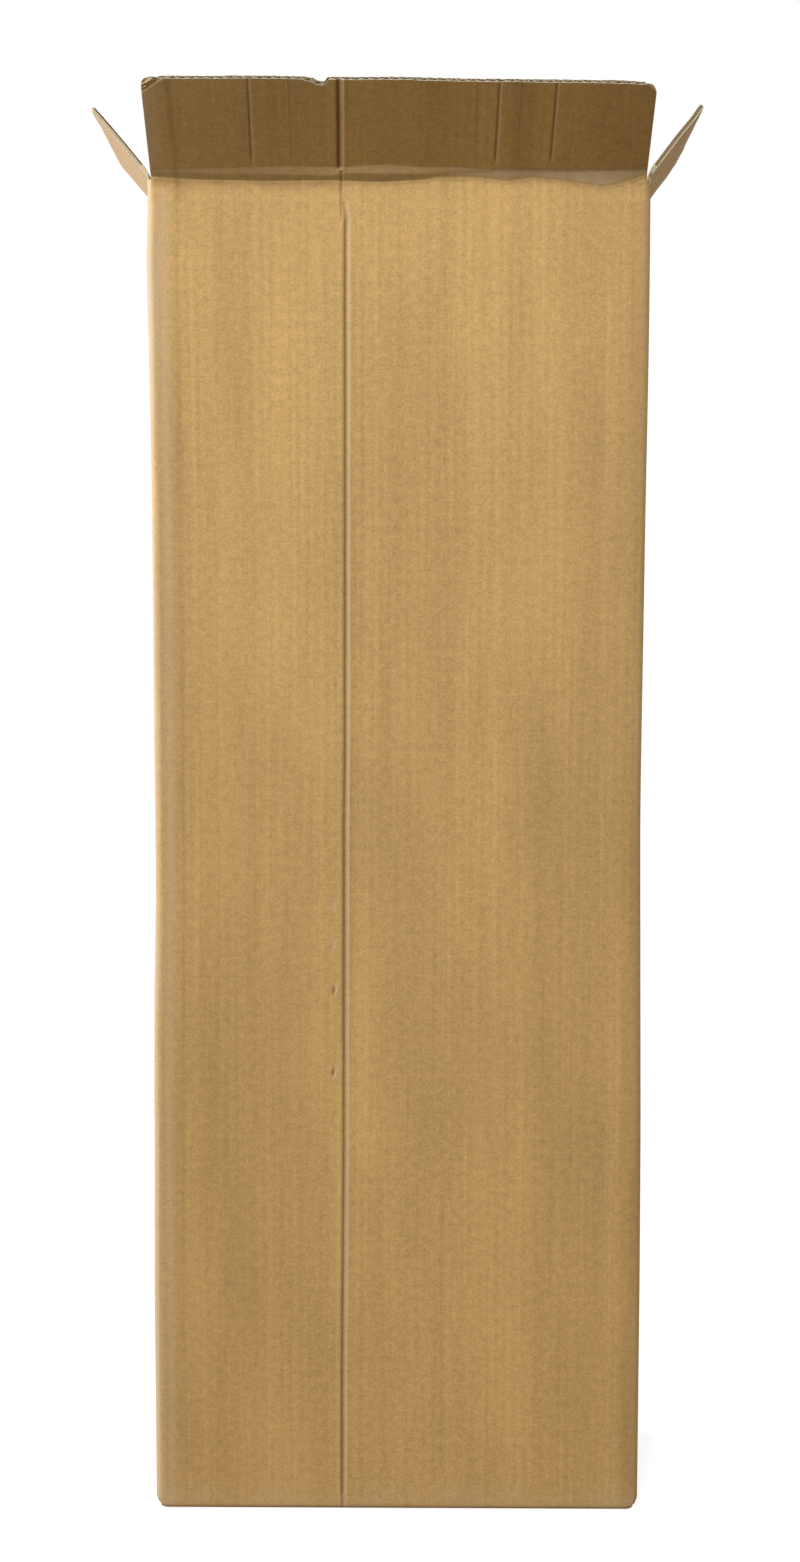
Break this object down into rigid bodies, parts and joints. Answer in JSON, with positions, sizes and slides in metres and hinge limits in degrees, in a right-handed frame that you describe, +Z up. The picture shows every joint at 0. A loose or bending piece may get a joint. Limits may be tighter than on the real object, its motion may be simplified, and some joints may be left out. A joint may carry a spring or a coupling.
{
  "type": "guitar shipping box",
  "caption": "Tall narrow corrugated carton for shipping a guitar, standing on its taped end with four fold-out top flaps, fluted cut edges and a lengthwise crease.",
  "frame": {"origin": "middle of the base, on the surface that the carton stands on", "axes": "+Z up along the carton's length, +X to the right seen from the front, -Y out of the front panel"},
  "size_m": [0.518, 0.2568, 1.2231],
  "materials": {
    "kraft_walls": "matte",
    "kraft_flaps": "matte",
    "packing_tape": "satin"
  },
  "bodies": {
    "carton": {"box_body": "kraft_walls", "bottom_seam_tape": "packing_tape"},
    "front_flap": {"front_top_flap": "kraft_flaps"},
    "back_flap": {"back_top_flap": "kraft_flaps"},
    "left_flap": {"left_top_flap": "kraft_flaps"},
    "right_flap": {"right_top_flap": "kraft_flaps"}
  },
  "joints": [
    {"name": "front_flap_fold", "type": "hinge", "parent": "carton", "child": "front_flap", "pos_m": [0, -0.07615, 1.166], "axis": [-1, 0, 0], "range_deg": [-136, 134]},
    {"name": "back_flap_fold", "type": "hinge", "parent": "carton", "child": "back_flap", "pos_m": [0, 0.07615, 1.166], "axis": [1, 0, 0], "range_deg": [-136, 134]},
    {"name": "left_flap_fold", "type": "hinge", "parent": "carton", "child": "left_flap", "pos_m": [-0.21265, 0, 1.1617], "axis": [0, 1, 0], "range_deg": [-141.7, 128.3]},
    {"name": "right_flap_fold", "type": "hinge", "parent": "carton", "child": "right_flap", "pos_m": [0.21265, 0, 1.1617], "axis": [0, -1, 0], "range_deg": [-141.7, 128.3]}
  ]
}
